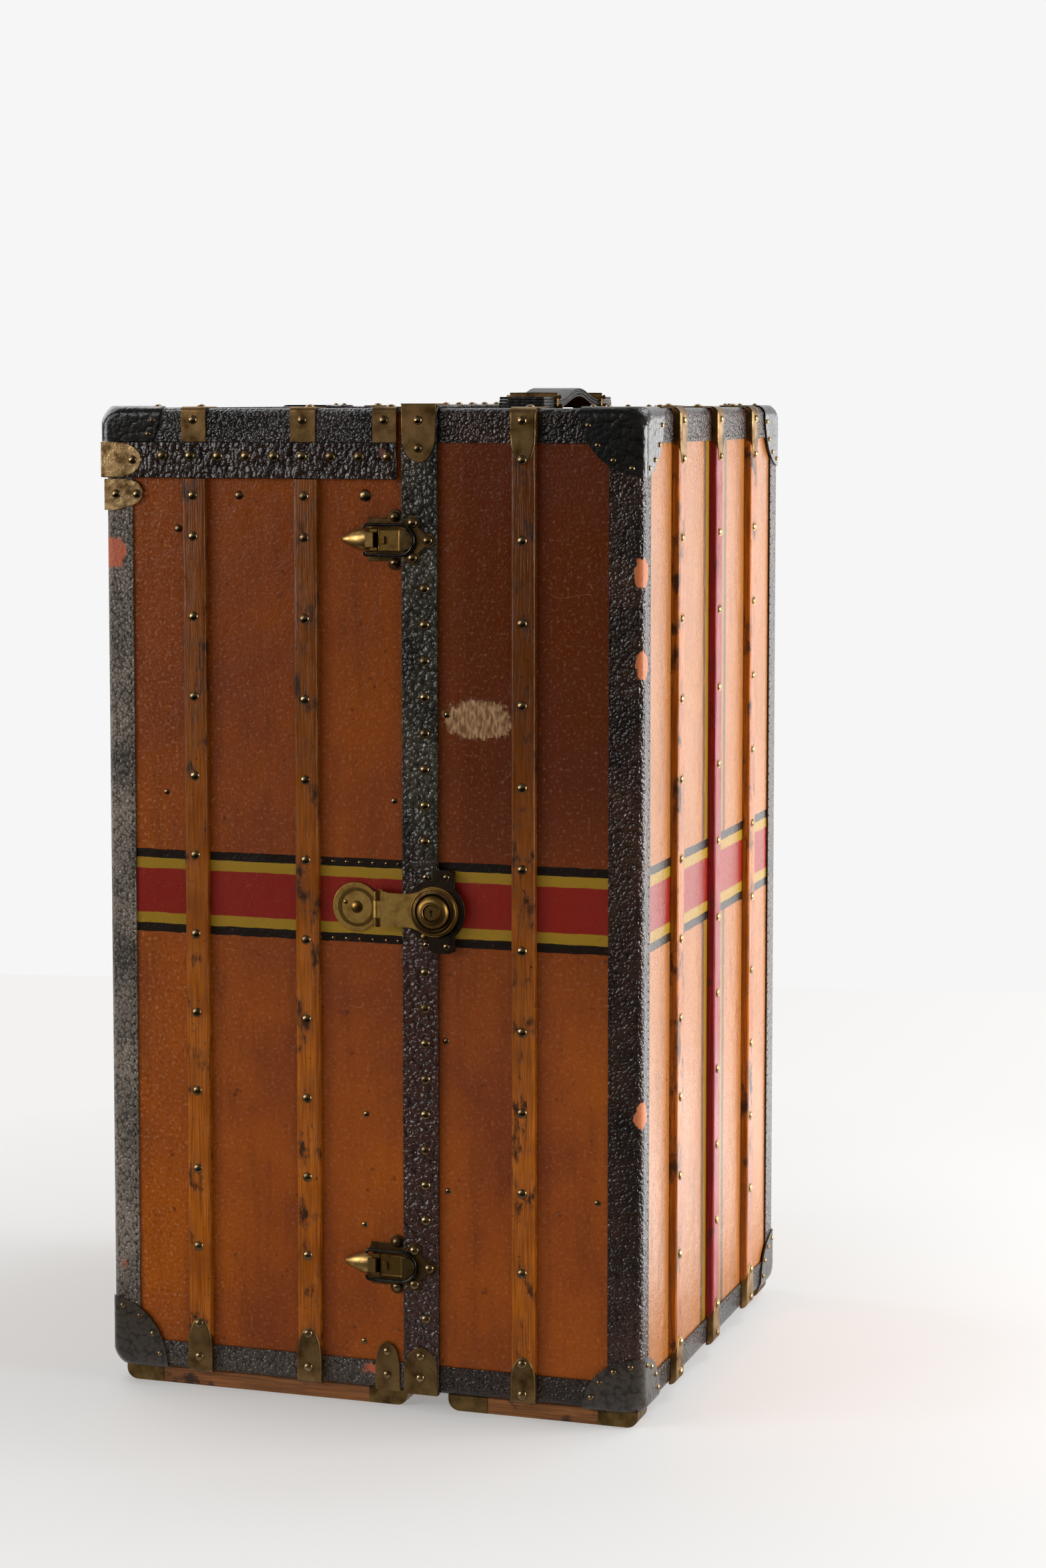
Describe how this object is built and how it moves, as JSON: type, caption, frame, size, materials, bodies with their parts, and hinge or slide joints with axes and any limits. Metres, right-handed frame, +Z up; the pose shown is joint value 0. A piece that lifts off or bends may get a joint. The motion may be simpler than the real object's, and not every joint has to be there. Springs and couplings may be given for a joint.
{
  "type": "wardrobe trunk",
  "caption": "Upright slatted travelling trunk that opens like a book, with a drawer rack, hanging space, lift-top lid, hasp lock and draw latches.",
  "frame": {"origin": "bottom centre of the whole closed trunk's box, on the floor", "axes": "+Z up, +X to the right of the front face, +Y from the front to the rear hinges"},
  "size_m": [0.659, 0.632, 1.153],
  "materials": {
    "canvas": "varnished patterned coated canvas over plywood",
    "binding_leather": "waxed dark brown, rubbed at the edges",
    "handle_leather": "stacked and polished, near black",
    "corner_cap": "japanned brown, worn",
    "slat_wood": "varnished hardwood, honey brown",
    "runner_wood": "dark stained hardwood",
    "drawer_board": "thin board covered in woven lining cloth",
    "hanger_wood": "varnished",
    "aged_brass": "aged, dark in the hollows",
    "bail_wire": "blackened steel wire",
    "lock_iron": "dark, rubbed to metal on the raised parts"
  },
  "bodies": {
    "drawer_half": {"drawer_shell": "canvas", "drawer_binding": "binding_leather", "drawer_corner_top_front": "corner_cap", "drawer_corner_top_rear": "corner_cap", "drawer_corner_bottom_front": "corner_cap", "drawer_corner_bottom_rear": "corner_cap", "seam_valance": "binding_leather", "drawer_slat_front": "slat_wood", "drawer_slat_back": "slat_wood", "drawer_slat_side_1": "slat_wood", "drawer_slat_side_2": "slat_wood", "drawer_slat_side_3": "slat_wood", "drawer_runner_front": "runner_wood", "drawer_runner_rear": "runner_wood", "top_handle": "handle_leather", "handle_staple_front": "aged_brass", "handle_staple_rear": "aged_brass", "lock_case": "lock_iron", "strike_upper": "aged_brass", "strike_lower": "aged_brass", "hinge_fixed_upper": "aged_brass", "hinge_fixed_lower": "aged_brass", "drawer_rack": "drawer_board"},
    "hanging_half": {"hanging_shell": "canvas", "hanging_binding": "binding_leather", "hanging_corner_front": "corner_cap", "hanging_corner_rear": "corner_cap", "hanging_slat_front_1": "slat_wood", "hanging_slat_front_2": "slat_wood", "hanging_slat_back_1": "slat_wood", "hanging_slat_back_2": "slat_wood", "hanging_slat_side_1": "slat_wood", "hanging_slat_side_2": "slat_wood", "hanging_slat_side_3": "slat_wood", "hanging_runner_front": "runner_wood", "hanging_runner_rear": "runner_wood", "latch_base_upper": "aged_brass", "latch_base_lower": "aged_brass", "hinge_moving_upper": "aged_brass", "hinge_moving_lower": "aged_brass", "hasp_base": "aged_brass", "garment_rail": "aged_brass", "shoe_box": "drawer_board"},
    "lid": {"lid_shell": "canvas", "lid_binding": "binding_leather", "lid_skirt_front": "binding_leather", "lid_skirt_rear": "binding_leather"},
    "lock_cylinder": {"lock_cylinder": "aged_brass"},
    "hasp": {"hasp": "aged_brass"},
    "drawer_1": {"drawer_1": "drawer_board"},
    "drawer_2": {"drawer_2": "drawer_board"},
    "drawer_3": {"drawer_3": "drawer_board"},
    "drawer_4": {"drawer_4": "drawer_board"},
    "drawer_5": {"drawer_5": "drawer_board"},
    "latch_lever_upper": {"latch_lever_upper": "aged_brass"},
    "latch_bail_upper": {"latch_bail_upper": "bail_wire"},
    "latch_lever_lower": {"latch_lever_lower": "aged_brass"},
    "latch_bail_lower": {"latch_bail_lower": "bail_wire"},
    "hanger_1": {"hanger_1": "hanger_wood"},
    "hanger_2": {"hanger_2": "hanger_wood"}
  },
  "joints": [
    {"name": "hanging_half_swing", "type": "hinge", "parent": "drawer_half", "child": "hanging_half", "pos_m": [0.06305, 0.31005, 0.57], "axis": [0, 0, -1], "range_deg": [0, 160]},
    {"name": "lid_lift", "type": "hinge", "parent": "hanging_half", "child": "lid", "pos_m": [-0.32585, 0.00255, 1.09215], "axis": [0, -1, 0], "range_deg": [0, 95]},
    {"name": "drawer_1_slide", "type": "slide", "parent": "drawer_half", "child": "drawer_1", "axis": [-1, 0, 0], "range_m": [0, 0.2]},
    {"name": "drawer_2_slide", "type": "slide", "parent": "drawer_half", "child": "drawer_2", "axis": [-1, 0, 0], "range_m": [0, 0.2]},
    {"name": "drawer_3_slide", "type": "slide", "parent": "drawer_half", "child": "drawer_3", "axis": [-1, 0, 0], "range_m": [0, 0.2]},
    {"name": "drawer_4_slide", "type": "slide", "parent": "drawer_half", "child": "drawer_4", "axis": [-1, 0, 0], "range_m": [0, 0.2]},
    {"name": "drawer_5_slide", "type": "slide", "parent": "drawer_half", "child": "drawer_5", "axis": [-1, 0, 0], "range_m": [0, 0.2]},
    {"name": "latch_upper_lever", "type": "hinge", "parent": "hanging_half", "child": "latch_lever_upper", "pos_m": [0.01105, -0.30995, 0.9845], "axis": [0, 0, 1], "range_deg": [0, 120]},
    {"name": "latch_upper_bail", "type": "hinge", "parent": "latch_lever_upper", "child": "latch_bail_upper", "pos_m": [0.00005, -0.31115, 0.9845], "axis": [0, 0, 1], "range_deg": [-132, 0]},
    {"name": "latch_lower_lever", "type": "hinge", "parent": "hanging_half", "child": "latch_lever_lower", "pos_m": [0.01105, -0.30995, 0.165], "axis": [0, 0, 1], "range_deg": [0, 120]},
    {"name": "latch_lower_bail", "type": "hinge", "parent": "latch_lever_lower", "child": "latch_bail_lower", "pos_m": [0.00005, -0.31115, 0.165], "axis": [0, 0, 1], "range_deg": [-132, 0]},
    {"name": "hasp_swing", "type": "hinge", "parent": "hanging_half", "child": "hasp", "pos_m": [0.01275, -0.30845, 0.571], "axis": [0, 0, -1], "range_deg": [0, 150]},
    {"name": "lock_turn", "type": "hinge", "parent": "drawer_half", "child": "lock_cylinder", "pos_m": [0.08105, -0.30995, 0.571], "axis": [0, 1, 0], "range_deg": [0, 90]},
    {"name": "hanger_1_slide", "type": "slide", "parent": "hanging_half", "child": "hanger_1", "axis": [1, 0, 0], "range_m": [-0.02, 0.02]},
    {"name": "hanger_2_slide", "type": "slide", "parent": "hanging_half", "child": "hanger_2", "axis": [1, 0, 0], "range_m": [-0.02, 0.02]}
  ],
  "couplings": [
    {"joint": "latch_upper_bail", "follows": "latch_upper_lever", "ratio": -1.1},
    {"joint": "latch_lower_bail", "follows": "latch_lower_lever", "ratio": -1.1}
  ]
}
